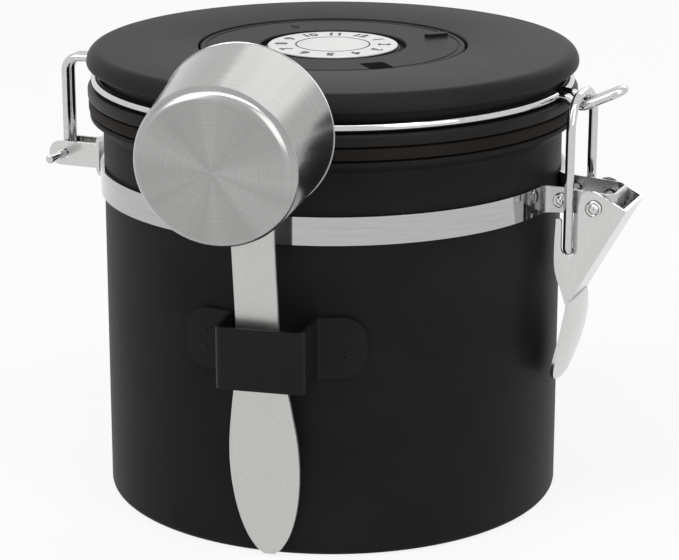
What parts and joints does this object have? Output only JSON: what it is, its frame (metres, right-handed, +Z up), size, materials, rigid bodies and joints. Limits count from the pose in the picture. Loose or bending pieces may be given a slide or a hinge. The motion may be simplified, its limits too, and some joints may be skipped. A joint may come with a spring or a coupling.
{
  "type": "vacuum coffee canister",
  "caption": "Round black steel coffee canister with a hinged bail lid, a lever latch, a turning date dial and a scoop held in a side clip.",
  "frame": {"origin": "centre of the flat base, on the surface that the canister stands on", "axes": "+Z up the canister's axis to the lid; +X to the latch; -X to the lid's hinge; -Y to the scoop and its clip"},
  "size_m": [0.1713, 0.1778, 0.14],
  "materials": {
    "black_powder_coat": "matte",
    "black_plastic": "satin",
    "brown_rubber": "matte",
    "white_plastic": "satin",
    "chromed_wire": "bright",
    "polished_steel": "polished",
    "brushed_steel": "brushed",
    "clear_silicone": "satin"
  },
  "bodies": {
    "canister": {"canister_body": "black_powder_coat", "neck_band": "polished_steel", "band_tie_rivet": "polished_steel", "latch_pivot_rivet": "polished_steel", "hinge_bracket": "polished_steel", "scoop_clip": "black_powder_coat"},
    "lid": {"lid_cover": "black_plastic", "lid_lower_shell": "black_plastic", "lid_gasket": "brown_rubber", "bail_wire": "chromed_wire", "day_ring": "white_plastic", "dial_retainer": "white_plastic", "valve_housing": "white_plastic", "valve_cap": "white_plastic", "valve_filter": "brushed_steel"},
    "date_dial": {"dial_disc": "black_plastic"},
    "month_dial": {"month_hub": "black_plastic", "month_plate": "brushed_steel"},
    "valve_flap": {"valve_flap": "clear_silicone"},
    "link": {"latch_link": "chromed_wire"},
    "lever": {"latch_lever": "polished_steel"},
    "scoop": {"scoop_bowl": "brushed_steel", "scoop_handle": "brushed_steel"}
  },
  "joints": [
    {"name": "lid_hinge", "type": "hinge", "parent": "canister", "child": "lid", "pos_m": [-0.081, 0, 0.0868], "axis": [0, -1, 0], "range_deg": [0, 105]},
    {"name": "latch_link_pivot", "type": "hinge", "parent": "lid", "child": "link", "pos_m": [0.0708, 0, 0.11565], "axis": [0, -1, 0], "range_deg": [0, 12.6]},
    {"name": "latch_lever_pivot", "type": "hinge", "parent": "canister", "child": "lever", "pos_m": [0.077, 0, 0.0871], "axis": [0, -1, 0], "range_deg": [0, 126]},
    {"name": "date_dial_turn", "type": "hinge", "parent": "lid", "child": "date_dial", "pos_m": [0, 0, 0.1215], "axis": [0, 0, 1], "continuous": true},
    {"name": "month_dial_turn", "type": "hinge", "parent": "lid", "child": "month_dial", "pos_m": [0, 0, 0.1223], "axis": [0, 0, 1], "continuous": true},
    {"name": "valve_flap_lift", "type": "slide", "parent": "lid", "child": "valve_flap", "axis": [0, 0, 1], "range_m": [0, 0.0009]},
    {"name": "scoop_lift", "type": "slide", "parent": "canister", "child": "scoop", "axis": [0.0167, -0.1382, 0.9903], "range_m": [0, 0.075]}
  ],
  "couplings": [
    {"joint": "latch_link_pivot", "follows": "lid_hinge", "ratio": 0.12},
    {"joint": "latch_lever_pivot", "follows": "lid_hinge", "ratio": 1.2}
  ]
}
